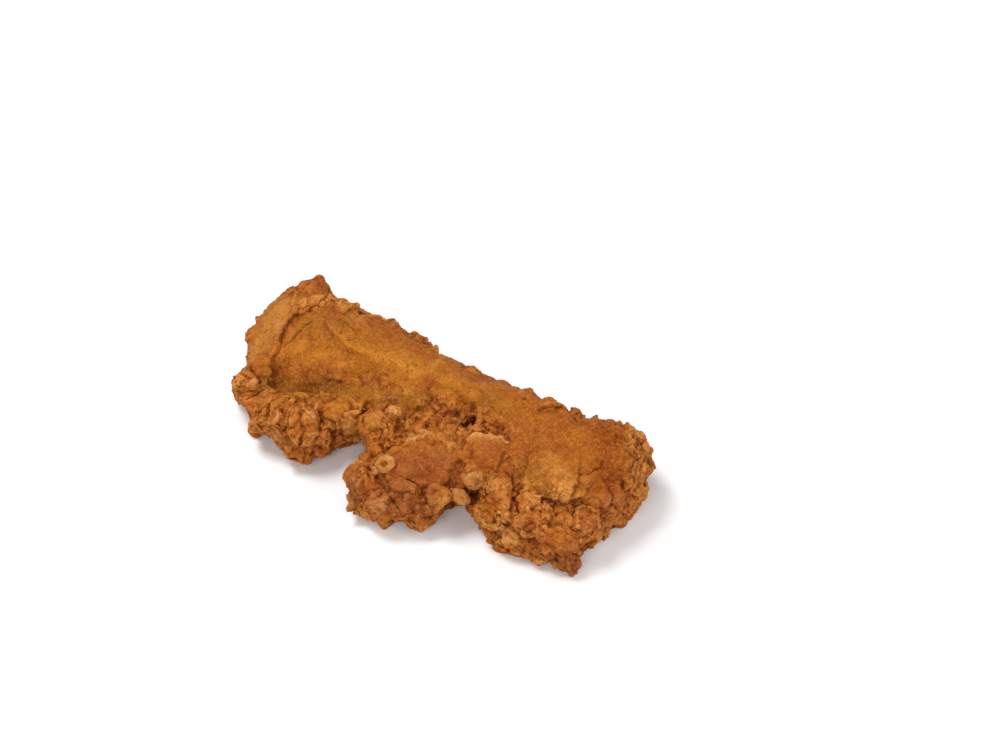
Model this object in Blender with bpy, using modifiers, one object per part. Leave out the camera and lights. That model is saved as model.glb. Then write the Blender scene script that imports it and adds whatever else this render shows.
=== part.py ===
"""A fried chicken tender: one strip of breast fillet in a craggy flour crust.

The strip lies along X, rests on Z = 0, and has its origin at the bottom centre of its bounding
box. Its folds are chains of balls that a voxel remesh joins. Creases are pressed into the joined
surface, the large lumps and flakes are set on it by name, and small crags are scattered over all
of it that isn't smooth. The underside is flattened where the strip lies.
"""

import math
import random

import bmesh
import bpy
import numpy as np
from mathutils import Euler, Matrix, Vector

# Driving dimensions, in metres.
LENGTH = 0.12
MM = LENGTH / 120  # the drawing unit: one millimetre at the real length

CORE_VOXEL = 0.9 * MM
CRAG_VOXEL = 0.6 * MM
TRIANGLES = 10400
SEED = 7

# Each fold of the meat is a chain of balls: x, y, z of the centre and the radius, in drawing units.
# Y points away from the side with the lobes.
FOLDS = {
    "fillet": [(-53.5, 7.5, 11, 10.4), (-44, 8, 11.5, 12), (-30, 8, 11.5, 12.4), (-14, 7.5, 11, 12),
               (2, 7, 10.5, 11.6), (18, 7.5, 10.5, 12.2), (30, 8, 10.5, 13), (41, 8, 10, 13.4)],
    "rolled_end": [(-54.6, 18.8, 15.2, 4.8), (-56.8, 13.6, 13.8, 6.3), (-57.8, 5, 11.8, 7),
                   (-57.2, -2.5, 9.6, 6.2), (-55.2, -8, 8, 5.4)],
    "near_flap": [(-54.4, -15.3, 5.5, 3.8), (-47.5, -17.8, 6, 6), (-40, -18, 6.4, 7.2),
                  (-33, -17.2, 6.8, 8), (-28, -11.5, 7.2, 7.8), (-24, -5.5, 7.8, 7.2),
                  (-16, -4, 8.5, 8)],
    "fillet_cheek": [(-48.5, -2.5, 10, 9), (-38, 0.5, 11, 9.5), (-26, 3, 11, 9.5)],
    "flap_root": [(-47, -10, 4, 5.5), (-34, -7.5, 5, 6.5), (-22, -3, 7, 7.4), (-8, -3, 8, 8.5)],
    "corner_chunk": [(-53.4, -11.6, 11, 3.2), (-51.6, -12, 12, 2.6)],
    "middle_lobe": [(0, -4, 9, 9), (2, -11, 8.2, 9.6), (1, -18, 7.2, 9.2), (-5.2, -24.6, 6.6, 8)],
    "lobe_shoulder": [(-13, -5, 8, 8), (-9.5, -12, 7.5, 8.2), (-8.4, -21.8, 6.2, 7)],
    "lobe_corner": [(7, -12, 8, 8.4), (8, -17.8, 6.5, 7.4), (8.8, -21.6, 5, 4.8)],
    "saddle": [(6, -3, 8.5, 9.5), (12, -6, 8.2, 9.4), (18.5, -8.5, 8, 8.4)],
    "far_end": [(28, 2, 9.5, 12), (36, 0, 9.5, 13), (43.2, 0.5, 8.2, 9.4), (45.6, 8.7, 9, 9.4),
                (43.5, 12.5, 10.6, 10.6)],
    "end_skirt": [(21.5, -10, 7, 7.4), (29.5, -13.6, 6.2, 8.2), (37, -12, 6.6, 8.2),
                  (44, -6.5, 6.6, 7.2)],
    "drip": [(39, -14, 4, 4.6), (44.5, -15, 3.4, 3.6), (48.3, -16, 2.6, 2.1)],
}

# Creases and holes pressed into the joined folds: path points, half width and depth.
CREASES = {
    "roll_crease": ([(-49.5, 8, 23), (-51.5, 3, 21.5), (-52.5, -1, 19), (-53, -5, 16)], 1.3, 2.2),
    "flap_crease": ([(-50, -11.7, 9), (-42, -8.1, 9), (-33, -4.4, 9.5), (-23.5, -2, 12.5),
                     (-14.5, -1, 15)], 1.7, 1.6),
    "lobe_crevice": ([(-6, -24.5, 14.5), (-2.5, -27.5, 12.5), (2.5, -28.5, 8)], 1, 1.8),
    "pit": ([(5.6, 1.2, 18), (5.2, 2.4, 14)], 1.7, 5),
    "lobe_cavity": ([(17.5, -16.5, 11), (19, -15.5, 12)], 1.9, 4),
    "plate_edge": ([(15, -1.8, 18.4), (20.4, -2.1, 18), (17.5, -9, 16.5)], 1, 1.5),
    "dome_split": ([(40.5, -3.6, 20.6), (45.2, 0.5, 20.5), (45.5, 3.3, 21.5)], 0.8, 1.2),
    "under_ledge": ([(34, -18.5, 11), (38, -13.2, 13.2), (42.5, -12, 13.8), (45, -8, 16)], 1.2, 1.8),
    "back_split": ([(22.8, 8.6, 22.5), (26.2, 12.5, 22.4)], 0.9, 1.4),
}

# Large lumps of batter: a point near the surface that each sits on, and its radius.
LUMPS = {
    "end_knob": ((-54.2, -15.9, 10.2), 3), "flap_corner": ((-44.3, -24.5, 7.3), 3.2),
    "flap_bottom": ((-29.2, -23.5, 4.9), 3), "flap_front": ((-31.1, -22.3, 13), 3.8),
    "flap_left": ((-36.5, -24, 11.4), 2.6), "flap_right": ((-25.4, -13.7, 13.7), 3),
    "flap_knob": ((-21.9, -13.1, 10.1), 3.4), "shoulder": ((-13.8, -11.6, 14.6), 3.8),
    "shoulder_top": ((-12.1, -7, 15.3), 2), "lobe_tip": ((-8.4, -28.8, 10.6), 3),
    "lobe_foot": ((0.2, -30.9, 8.2), 3.2), "lobe_low": ((-7.5, -30.5, 6), 3),
    "lobe_base": ((5.8, -25.6, 9.3), 3.6), "lobe_drop": ((9.6, -27.4, 4.2), 2.6),
    "lobe_knob": ((11.8, -21.6, 11.2), 2.4), "cavity_brow": ((17, -13.7, 13.1), 2.6),
    "skirt_left": ((25.3, -17.1, 11.4), 2.5), "skirt_top": ((26.2, -13.9, 13.8), 2.2),
    "skirt_front": ((29.6, -17.8, 12), 2.3), "skirt_foot": ((31.1, -19.6, 5.1), 2.4),
    "skirt_block": ((37.3, -18.2, 12.2), 2.6), "skirt_round": ((43.9, -16.3, 8.8), 3.8),
    "skirt_end": ((48.6, -9.3, 11), 3.2), "end_edge": ((49.5, -1.6, 15.5), 2.4),
    "end_shelf": ((43.5, -11.6, 13.5), 2.5),
}

# Flat flakes that lie on the crust: a point near the surface, half length, half width, thickness.
FLAKES = {
    "plate": ((17.9, -6.8, 16.3), 5.2, 4.4, 1.5),
    "curled_flake": ((-3.3, -22.9, 14.9), 2.8, 2.2, 1.3),
    "notch_flake": ((15.4, -17.2, 8.5), 3, 1.8, 1.3),
}

# Places where the crust lies smooth: centre, and radii along x, y and z.
SMOOTH_PATCHES = {
    "fillet_top": ((-22, 5, 24), (28, 9, 9)),
    "fillet_mid": ((12, 10, 24), (16, 9, 8)),
    "dome_top": ((34, -1, 24), (11, 10, 10)),
    "lobe_top": ((1, -13, 18), (7, 8, 6)),
    "roll_top": ((-59, 6, 18), (4, 11, 7)),
}

CRAGS = 480
CRAG_RADII = (1.3, 2.8)

# The underside gives way towards the table, and is then cut off level.
REST_HEIGHT = 1.4
REST_GIVE = 1.2
CUT_HEIGHT = 0.5

CRUST_COLOUR = (0.38, 0.12, 0.025, 1)
CRUST_ROUGHNESS = 0.5


def clear_scene():
    for obj in list(bpy.data.objects):
        bpy.data.objects.remove(obj)


def crust_material():
    material = bpy.data.materials.new("crust")
    material.use_nodes = True
    shader = material.node_tree.nodes["Principled BSDF"]
    shader.inputs["Base Color"].default_value = CRUST_COLOUR
    shader.inputs["Roughness"].default_value = CRUST_ROUGHNESS
    shader.inputs["Metallic"].default_value = 0
    return material


def bake(obj, modifiers):
    """Adds the modifiers, keeps the mesh that they make, and removes them."""
    for kind, values in modifiers:
        modifier = obj.modifiers.new(kind, kind)
        for key, value in values.items():
            setattr(modifier, key, value)
    graph = bpy.context.evaluated_depsgraph_get()
    mesh = bpy.data.meshes.new_from_object(obj.evaluated_get(graph))
    obj.modifiers.clear()
    old = obj.data
    obj.data = mesh
    bpy.data.meshes.remove(old)


def points_of(mesh):
    points = np.empty(len(mesh.vertices) * 3)
    mesh.vertices.foreach_get("co", points)
    return points.reshape(-1, 3)


def normals_of(mesh):
    normals = np.empty(len(mesh.vertices) * 3)
    mesh.vertex_normals.foreach_get("vector", normals)
    return normals.reshape(-1, 3)


def set_points(mesh, points):
    mesh.vertices.foreach_set("co", points.ravel())
    mesh.update()


def chain(stations, spacing):
    """Stations along a fold or crease, close enough together to read as one smooth form."""
    for start, end in zip(stations, stations[1:]):
        a, b = Vector(start), Vector(end)
        steps = max(1, math.ceil((b - a).length / spacing))
        for i in range(steps):
            yield a.lerp(b, i / steps)
    yield Vector(stations[-1])


def add_ball(bm, centre, radii, turn=Matrix(), subdivisions=2):
    matrix = Matrix.Translation(centre) @ turn @ Matrix.Diagonal((*radii, 1))
    bmesh.ops.create_icosphere(bm, subdivisions=subdivisions, radius=1, matrix=matrix)


def smoothness(points):
    """How smooth the crust lies at each point, from 0 on the crags to 1."""
    smooth = np.zeros(len(points))
    for centre, radii in SMOOTH_PATCHES.values():
        away = np.linalg.norm((points / MM - np.array(centre)) / np.array(radii), axis=1)
        smooth = np.maximum(smooth, np.clip((1.25 - away) / 0.5, 0, 1))
    return smooth


def folded_strip(collection):
    """The bare strip: every fold as a chain of balls, joined by a voxel remesh and smoothed."""
    bm = bmesh.new()
    for stations in FOLDS.values():
        for x, y, z, r in chain(stations, 3):
            add_ball(bm, Vector((x, y, z)) * MM, [r * MM] * 3, subdivisions=3)
    mesh = bpy.data.meshes.new("tender")
    bm.to_mesh(mesh)
    bm.free()
    obj = bpy.data.objects.new("tender", mesh)
    collection.objects.link(obj)
    bake(obj, [("REMESH", {"mode": "VOXEL", "voxel_size": CORE_VOXEL}),
               ("SMOOTH", {"factor": 0.5, "iterations": 5})])
    return obj


def swell(obj):
    """Uneven swellings, small ones only where the crust isn't smooth."""
    rough = 1 - 0.7 * smoothness(points_of(obj.data))
    group = obj.vertex_groups.new(name="rough")
    for i, weight in enumerate(rough):
        group.add([i], weight, "REPLACE")
    displacements = []
    for name, size, strength in (("swell", 11, 2.6), ("ripple", 4, 1.6)):
        texture = bpy.data.textures.new(name, "CLOUDS")
        texture.noise_scale = size * MM
        texture.noise_depth = 2
        displacements.append(("DISPLACE", {"texture": texture, "strength": strength * MM,
                                           "texture_coords": "LOCAL", "mid_level": 0.5,
                                           "vertex_group": "rough" if name == "ripple" else ""}))
    bake(obj, displacements)


def press_creases(obj):
    """Moves the surface inwards near each crease's path."""
    points, normals = points_of(obj.data), normals_of(obj.data)
    inward = np.zeros(len(points))
    for path, half_width, depth in CREASES.values():
        near = np.full(len(points), np.inf)
        for station in chain(path, 0.5):
            near = np.minimum(near, np.linalg.norm(points / MM - np.array(station), axis=1))
        inward = np.maximum(inward, depth * np.exp(-((near / half_width) ** 2)))
    set_points(obj.data, points - normals * (inward * MM)[:, None])


def surface_at(obj, point):
    """The nearest place on the surface, and a turn that takes Z to its normal."""
    _, place, normal, _ = obj.closest_point_on_mesh(Vector(point) * MM)
    return place, normal, normal.to_track_quat("Z", "Y").to_matrix().to_4x4()


def add_lumps_and_flakes(obj):
    """Sets each named lump and flake half into the surface under it."""
    bm = bmesh.new()
    bm.from_mesh(obj.data)
    for point, radius in LUMPS.values():
        place, normal, turn = surface_at(obj, point)
        r = radius * MM
        add_ball(bm, place - normal * 0.2 * r, (1.1 * r, 0.95 * r, 0.9 * r), turn)
    for point, half_length, half_width, thickness in FLAKES.values():
        place, normal, turn = surface_at(obj, point)
        radii = (half_length * MM, half_width * MM, thickness * MM)
        add_ball(bm, place + normal * 0.1 * radii[2], radii, turn)
    bm.to_mesh(obj.data)
    bm.free()


def add_crags(obj, count, radii, seed):
    """Small lumps of batter half sunk in the surface, crowded where it isn't smooth."""
    rng = random.Random(seed)
    mesh = obj.data
    mesh.calc_loop_triangles()
    corners = points_of(mesh)[np.array([t.vertices[:] for t in mesh.loop_triangles])]
    across = np.cross(corners[:, 1] - corners[:, 0], corners[:, 2] - corners[:, 0])
    middle = corners.mean(axis=1)
    rough = 1 - smoothness(middle)
    share = np.cumsum(np.linalg.norm(across, axis=1) * (0.06 + 0.94 * rough))
    smallest, largest = radii
    bm = bmesh.new()
    bm.from_mesh(mesh)
    for _ in range(count):
        i = int(np.searchsorted(share, rng.random() * share[-1]))
        size = (smallest + (largest - smallest) * rng.random() ** 2.2) * MM
        sink = (0.2 + 0.5 * rng.random() + 0.4 * (1 - rough[i])) * size
        ball = [size * rng.uniform(0.75, 1.3) for _ in range(3)]
        turn = Euler([rng.uniform(0, math.pi) for _ in range(3)]).to_matrix().to_4x4()
        add_ball(bm, Vector(middle[i]) - Vector(across[i]).normalized() * sink, ball, turn)
    bm.to_mesh(mesh)
    bm.free()


def keep_largest(obj):
    """Drops scraps that the remesh left loose."""
    bm = bmesh.new()
    bm.from_mesh(obj.data)
    seen, islands = set(), []
    for start in bm.verts:
        if start in seen:
            continue
        island, queue = [], [start]
        seen.add(start)
        while queue:
            vert = queue.pop()
            island.append(vert)
            for edge in vert.link_edges:
                other = edge.other_vert(vert)
                if other not in seen:
                    seen.add(other)
                    queue.append(other)
        islands.append(island)
    islands.sort(key=len)
    scraps = [vert for island in islands[:-1] for vert in island]
    bmesh.ops.delete(bm, geom=scraps, context="VERTS")
    bm.to_mesh(obj.data)
    bm.free()


def settle(obj):
    """Presses what lies under the resting height up towards it, as the strip's weight does."""
    points = points_of(obj.data)
    rest, give = REST_HEIGHT * MM, REST_GIVE * MM
    low = points[:, 2] < rest
    points[low, 2] = rest - give * np.tanh((rest - points[low, 2]) / (2.2 * give))
    set_points(obj.data, points)


def cut_flat(obj):
    """Cuts the underside at one level, so that its lowest lumps end in flat resting spots."""
    bm = bmesh.new()
    bm.from_mesh(obj.data)
    bmesh.ops.bisect_plane(bm, geom=bm.verts[:] + bm.edges[:] + bm.faces[:], dist=1e-7,
                           plane_co=(0, 0, CUT_HEIGHT * MM), plane_no=(0, 0, -1), clear_outer=True)
    bmesh.ops.holes_fill(bm, edges=[e for e in bm.edges if e.is_boundary], sides=0)
    bmesh.ops.triangulate(bm, faces=[f for f in bm.faces if len(f.verts) > 3])
    bm.normal_update()
    bm.to_mesh(obj.data)
    bm.free()


def centre(obj):
    """Puts the bottom centre of the bounding box at the origin."""
    points = points_of(obj.data)
    low, high = points.min(axis=0), points.max(axis=0)
    set_points(obj.data, points - [(low[0] + high[0]) / 2, (low[1] + high[1]) / 2, low[2]])


def main():
    clear_scene()
    collection = bpy.data.collections.new("chicken_tender")
    bpy.context.scene.collection.children.link(collection)
    obj = folded_strip(collection)
    swell(obj)
    press_creases(obj)
    add_lumps_and_flakes(obj)
    add_crags(obj, CRAGS, CRAG_RADII, SEED)
    bake(obj, [("REMESH", {"mode": "VOXEL", "voxel_size": CRAG_VOXEL}),
               ("SMOOTH", {"factor": 0.5, "iterations": 1})])
    keep_largest(obj)
    settle(obj)
    faces = len(obj.data.polygons) * 2
    bake(obj, [("DECIMATE", {"ratio": TRIANGLES / faces})])
    cut_flat(obj)
    centre(obj)
    obj.data.materials.clear()
    obj.data.materials.append(crust_material())


main()
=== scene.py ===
import math

import bpy
import numpy as np
from mathutils import Matrix, Vector, kdtree, noise


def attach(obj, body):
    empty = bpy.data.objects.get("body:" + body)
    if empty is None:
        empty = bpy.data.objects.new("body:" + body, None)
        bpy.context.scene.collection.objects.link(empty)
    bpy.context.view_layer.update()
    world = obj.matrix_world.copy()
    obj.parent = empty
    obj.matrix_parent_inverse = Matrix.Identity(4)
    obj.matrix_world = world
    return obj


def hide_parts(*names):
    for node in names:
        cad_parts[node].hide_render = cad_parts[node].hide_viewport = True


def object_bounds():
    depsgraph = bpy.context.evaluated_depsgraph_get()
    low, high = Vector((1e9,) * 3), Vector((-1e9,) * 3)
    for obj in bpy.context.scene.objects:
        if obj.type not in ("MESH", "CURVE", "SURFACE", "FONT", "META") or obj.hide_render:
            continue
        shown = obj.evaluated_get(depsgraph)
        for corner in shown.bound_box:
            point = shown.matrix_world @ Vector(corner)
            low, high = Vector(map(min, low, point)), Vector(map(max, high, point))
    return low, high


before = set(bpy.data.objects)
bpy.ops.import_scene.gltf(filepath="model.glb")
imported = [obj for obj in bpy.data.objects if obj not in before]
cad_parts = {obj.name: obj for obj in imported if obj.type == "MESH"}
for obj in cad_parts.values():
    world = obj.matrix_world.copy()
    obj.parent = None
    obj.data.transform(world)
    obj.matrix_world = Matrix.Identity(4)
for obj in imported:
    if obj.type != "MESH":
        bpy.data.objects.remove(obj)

cad_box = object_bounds()
bpy.ops.object.select_all(action="DESELECT")

# Camera and table
# The tender lies on a plain white table top, seen from above its near long side on a long lens,
# in the even light of a white room with three soft boxes.
MM = 0.001
PHOTO_WIDTH, PHOTO_HEIGHT = 1000, 731
LENS, SENSOR = 85, 36
VIEW_TURN, VIEW_RISE = math.radians(33), math.radians(45)
VIEW_DISTANCE = 618.6 * MM
AIM = Vector((9.79, 22.71, 21.08)) * MM
TABLE_SIDE = 6
TABLE_GAP = 0.05 * MM
TABLE_WHITE = (0.87, 0.87, 0.87, 1)
ROOM_STRENGTH = 0.37

view_back = Vector((math.sin(VIEW_TURN) * math.cos(VIEW_RISE),
                    -math.cos(VIEW_TURN) * math.cos(VIEW_RISE), math.sin(VIEW_RISE)))
view_right = Vector((math.cos(VIEW_TURN), math.sin(VIEW_TURN), 0))
view_up = view_back.cross(view_right)
view_place = AIM + view_back * VIEW_DISTANCE
bpy.ops.object.camera_add(location=view_place, rotation=(math.pi / 2 - VIEW_RISE, 0, VIEW_TURN))
camera = bpy.context.object
camera.data.lens = LENS
camera.data.sensor_width = SENSOR
bpy.context.scene.camera = camera

bpy.ops.mesh.primitive_plane_add(size=TABLE_SIDE, location=(0, 0, -TABLE_GAP))
table = bpy.context.object
table.name = "table_top"
table_paint = bpy.data.materials.new("table_paint")
table_paint.use_nodes = True
table_shader = table_paint.node_tree.nodes["Principled BSDF"]
table_shader.inputs["Base Color"].default_value = TABLE_WHITE
table_shader.inputs["Roughness"].default_value = 0.9
table_shader.inputs["Specular IOR Level"].default_value = 0.1
table.data.materials.append(table_paint)


def soft_box(name, place, side, power):
    """A square lamp that faces the tender."""
    turn = (-Vector(place)).to_track_quat("-Z", "Y").to_euler()
    bpy.ops.object.light_add(type="AREA", location=place, rotation=turn)
    lamp = bpy.context.object
    lamp.name = name
    lamp.data.shape = "SQUARE"
    lamp.data.size = side
    lamp.data.energy = power


soft_box("top_box", (-0.42, -0.02, 0.84), side=0.4, power=6.6)
soft_box("front_box", (0.2, -0.8, 0.6), side=0.6, power=4.2)
soft_box("side_box", (0.8, 0.1, 0.5), side=0.5, power=3.5)
room = bpy.data.worlds.new("white_room")
room.use_nodes = True
room.node_tree.nodes["Background"].inputs["Color"].default_value = (1, 1, 1, 1)
room.node_tree.nodes["Background"].inputs["Strength"].default_value = ROOM_STRENGTH
bpy.context.scene.world = room
bpy.context.scene.view_settings.view_transform = "Standard"

# Crust: the folded strip
# The real tender is one strip of breast meat, folded over at one end and dredged in seasoned
# flour. The CAD solid's facets are smoothed away here, and the batter is then built up on it.
WELD = 0.005 * MM
STRIP_VOXEL = 0.7 * MM
STRIP_SMOOTHING = 5

crust = bpy.data.objects.new("crust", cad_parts["tender"].data.copy())
bpy.context.scene.collection.objects.link(crust)
crust.select_set(True)
bpy.context.view_layer.objects.active = crust
bpy.ops.object.mode_set(mode="EDIT")
bpy.ops.mesh.select_all(action="SELECT")
bpy.ops.mesh.remove_doubles(threshold=WELD)
bpy.ops.object.mode_set(mode="OBJECT")


def finish_with(obj, kind, **settings):
    """Adds one modifier and applies it."""
    bpy.context.view_layer.objects.active = obj
    modifier = obj.modifiers.new(kind, kind)
    for setting, value in settings.items():
        setattr(modifier, setting, value)
    bpy.ops.object.modifier_apply(modifier=modifier.name)


def points_of(obj):
    points = np.empty(len(obj.data.vertices) * 3)
    obj.data.vertices.foreach_get("co", points)
    return points.reshape(-1, 3)


def normals_of(obj):
    normals = np.empty(len(obj.data.vertices) * 3)
    obj.data.vertex_normals.foreach_get("vector", normals)
    return normals.reshape(-1, 3)


def move_points(obj, points):
    obj.data.vertices.foreach_set("co", points.ravel())
    obj.data.update()


finish_with(crust, "REMESH", mode="VOXEL", voxel_size=STRIP_VOXEL)
finish_with(crust, "SMOOTH", factor=0.5, iterations=STRIP_SMOOTHING)


def sight_line(px, py):
    """The direction from the camera through a pixel of the photo."""
    across = (px - PHOTO_WIDTH / 2) / PHOTO_WIDTH * SENSOR / LENS
    above = (PHOTO_HEIGHT / 2 - py) / PHOTO_WIDTH * SENSOR / LENS
    return (view_right * across + view_up * above - view_back).normalized()


def on_crust(px, py):
    """Where the sight line through a pixel of the photo meets the crust, and its normal there."""
    sight = sight_line(px, py)
    met, place, normal, _ = crust.ray_cast(view_place, sight)
    if not met:
        _, place, normal, _ = crust.closest_point_on_mesh(view_place + sight * VIEW_DISTANCE)
    return place, normal


def sight_path(pixels, spacing=3):
    """Places on the crust along a line drawn on the photo, a few pixels apart."""
    stations = []
    for (x0, y0), (x1, y1) in zip(pixels, pixels[1:] or pixels):
        steps = max(1, math.ceil(math.hypot(x1 - x0, y1 - y0) / spacing))
        stations += [(x0 + (x1 - x0) * i / steps, y0 + (y1 - y0) * i / steps) for i in range(steps)]
    return [on_crust(*pixel)[0] for pixel in stations + [pixels[-1]]]


def nearness(points, path, reach):
    """1 on the path, falling to 0.37 at reach and to nothing beyond three times that."""
    weight = np.zeros(len(points))
    path = np.array(path)
    near = np.all((points > path.min(axis=0) - 3 * reach) & (points < path.max(axis=0) + 3 * reach),
                  axis=1)
    away = np.full(near.sum(), np.inf)
    for station in path:
        away = np.minimum(away, ((points[near] - station) ** 2).sum(axis=1))
    weight[near] = np.exp(-away / reach ** 2)
    return weight


# Where the batter lies thin and smooth: lines drawn on the photo, and the reach to each side in mm.
SMOOTH_FIELDS = {
    "ridge": ([(285, 360), (330, 342), (380, 352), (425, 366)], 8),
    "ridge_back": ([(370, 320), (420, 340), (470, 364), (510, 386)], 4),
    "behind_lip": ([(302, 322), (325, 312), (345, 320)], 3.6),
    "ridge_end": ([(425, 368), (470, 385), (505, 402)], 5),
    "lip": ([(262, 350), (268, 322), (286, 300), (308, 292)], 5),
    "lip_facet": ([(305, 296), (324, 294)], 3.4),
    "middle": ([(510, 403), (545, 422), (590, 436)], 5.5),
    "dome": ([(530, 450), (575, 445), (590, 465)], 7),
    "lobe": ([(400, 468), (420, 462), (440, 470)], 6.4),
    "plate": ([(476, 448), (494, 444), (488, 460)], 4),
    "groove": ([(275, 389), (350, 391), (410, 403)], 2.4),
    "flap_top": ([(325, 408), (345, 405)], 2.6),
    "round": ([(556, 540)], 2.6),
    "shoulder": ([(374, 420)], 2.2),
    "flap_front": ([(299, 425)], 2.4),
    "knob": ([(351, 424)], 2),
}
SMOOTH_CORE = 1.6  # makes a field wholly smooth out to two thirds of its reach
smooth_paths = [(sight_path(pixels), reach * MM) for pixels, reach in SMOOTH_FIELDS.values()]


def roughness_at(points):
    """1 where the crust is craggy, towards 0 where it lies smooth."""
    smooth = np.zeros(len(points))
    for path, reach in smooth_paths:
        smooth = np.maximum(smooth, np.clip(SMOOTH_CORE * nearness(points, path, reach), 0, 1))
    return 1 - smooth


def displace(obj, kind, size, strength, middle=0.5, group="", **settings):
    """Raises and sinks the surface by one of Blender's textures, size and strength in metres."""
    texture = bpy.data.textures.new(kind.lower(), kind)
    texture.noise_scale = size
    for setting, value in settings.items():
        setattr(texture, setting, value)
    finish_with(obj, "DISPLACE", texture=texture, strength=strength, mid_level=middle,
                texture_coords="LOCAL", vertex_group=group)


ROUGH_STEPS = 20


def mark_rough(obj):
    """Puts how craggy each point is, in steps, into the vertex group that the modifiers read."""
    obj.vertex_groups.clear()
    group = obj.vertex_groups.new(name="rough")
    weights = roughness_at(points_of(obj))
    for step in range(ROUGH_STEPS + 1):
        chosen = np.flatnonzero(np.rint(weights * ROUGH_STEPS) == step)
        group.add(chosen.tolist(), step / ROUGH_STEPS, "REPLACE")


SWELL = 0.08 * MM
GROOVE_FILL = 0.9 * MM
GROOVE_REACH = 2.8 * MM
PIXEL = VIEW_DISTANCE * SENSOR / LENS / PHOTO_WIDTH  # what one pixel spans on the tender
# Where the edge bulges or draws in: pixels, push right and down on the photo, and reach in mm.
PUSHES = {
    "end_low": ([(609, 535)], (8, 11), 4.2),
    "end_side": ([(650, 446), (650, 462), (648, 492)], (-4, -1), 4),
    "end_corner": ([(634, 518)], (-3, -3), 3),
    "drip": ([(575, 562)], (-4, 6), 3),
    "skirt_low": ([(524, 555), (540, 560)], (0, 10), 4),
    "lobe_low": ([(384, 520)], (0, 15), 3.6),
    "left_high": ([(243, 338), (240, 362)], (7, 1), 4),
    "upper_left": ([(262, 308), (284, 290)], (2, 2), 3),
    "end_knob": ([(233, 383)], (-5, 0), 2.5),
    "notch": ([(350, 452)], (2, -5), 3.2),
    "second_notch": ([(455, 508)], (-3, -11), 3),
    "back_start": ([(345, 298), (362, 306)], (-1, 9), 4),
    "back": ([(375, 312), (400, 323), (425, 335)], (-1, 14), 6.4),
    "back_slope": ([(455, 350), (480, 365)], (-1, 7), 4.5),
    "back_middle": ([(510, 375), (523, 383)], (-1, 2), 3),
    "back_end": ([(556, 396), (583, 410)], (-1, 13), 5),
    "back_notch": ([(336, 285)], (-8, 6), 3),
    "top": ([(318, 275)], (-2, 8), 4),
}
# The notch between the flap and the lobe and the nicks along the edge, cut slantwise with round
# cutters: pixel, and radius in mm.
NICKS = [((363, 440), 1.4), ((359, 449), 2.6), ((351, 459), 3.4), ((333, 475), 4.6), ((332, 507), 4.6),
         ((353, 527), 3), ((412, 543), 2.5), ((446, 524), 3.2), ((282, 476), 3.7), ((300, 477), 2.6),
         ((230, 419), 4.9), ((256, 455), 5.4), ((628, 540), 4.3), ((596, 563), 4), ((591, 573), 3.2),
         ((555, 590), 4.4), ((479, 545), 3.9), ((344, 284), 2), ((371, 294), 3), ((578, 396), 3.2)]
CUTTER_SIDES = 24
CUTTER_LENGTH = 160 * MM
for pixel, radius in NICKS:
    place = view_place + sight_line(*pixel) * VIEW_DISTANCE
    bpy.ops.mesh.primitive_cylinder_add(vertices=CUTTER_SIDES, radius=radius * MM, depth=CUTTER_LENGTH,
                                        location=place, rotation=camera.rotation_euler)
    cutter = bpy.context.object
    finish_with(crust, "BOOLEAN", object=cutter, operation="DIFFERENCE", solver="MANIFOLD")
    bpy.data.objects.remove(cutter)
finish_with(crust, "REMESH", mode="VOXEL", voxel_size=STRIP_VOXEL)
view_near = Vector((view_back.x, view_back.y, 0)).normalized()


def pushed(points, pushes):
    """The points, with those near the drawn lines and those below them shifted."""
    moved = points.copy()
    for pixels, (right, down), reach in pushes.values():
        push = PIXEL * (view_right * right + view_near * down / math.sin(VIEW_RISE))
        side = [(x, y, z * share) for x, y, z in sight_path(pixels) for share in (0, 0.5, 1)]
        moved += nearness(points, side, reach * MM)[:, None] * np.array(push)
    return moved


crust_points = points_of(crust)
groove_path = sight_path([(270, 388), (358, 391), (419, 404)])
swell = SWELL + GROOVE_FILL * nearness(crust_points, groove_path, GROOVE_REACH)
move_points(crust, pushed(crust_points, PUSHES) + normals_of(crust) * swell[:, None])
mark_rough(crust)
displace(crust, "CLOUDS", 4 * MM, 1.1 * MM, group="rough", noise_depth=2)

# Crust: lumps of batter
# Clots of flour and buttermilk stick to the strip and fry hard. Those that stand out are set
# where the photo shows them, each with its length, width and height, and the rest are scattered.
CAGE_CUTS = 6  # into each side of the cube that a chunk starts as
CHUNK_SIDES = 9
CHUNK_FLATS = 0.55, 0.85  # how far from its middle its flat sides lie
CHUNK_SWELL = 1.15  # makes up for what they take away
LUMP_SHAPES = 8


def lump_shape(number):
    """One chunk with a radius of about 1: a ball that is cut flat on several sides."""
    rng = np.random.default_rng(number)
    bpy.ops.mesh.primitive_cube_add(size=2)
    lump = bpy.context.object
    bpy.ops.object.mode_set(mode="EDIT")
    bpy.ops.mesh.subdivide(number_cuts=CAGE_CUTS)
    bpy.ops.transform.tosphere(value=1)
    bpy.ops.object.mode_set(mode="OBJECT")
    shape = points_of(lump)
    shape /= np.linalg.norm(shape, axis=1)[:, None]
    for _ in range(CHUNK_SIDES):
        facing = rng.normal(0, 1, 3)
        reach = shape @ (facing / np.linalg.norm(facing))
        shape *= np.minimum(1, rng.uniform(*CHUNK_FLATS) / np.maximum(reach, 0.1))[:, None]
    quads = np.empty(len(lump.data.loops), int)
    lump.data.loops.foreach_get("vertex_index", quads)
    bpy.data.objects.remove(lump)
    return shape * CHUNK_SWELL, quads.reshape(-1, 4)


lump_cages = [lump_shape(number) for number in range(LUMP_SHAPES)]
lump_points = np.array([shape for shape, _ in lump_cages])
lump_quads = lump_cages[0][1]


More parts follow.
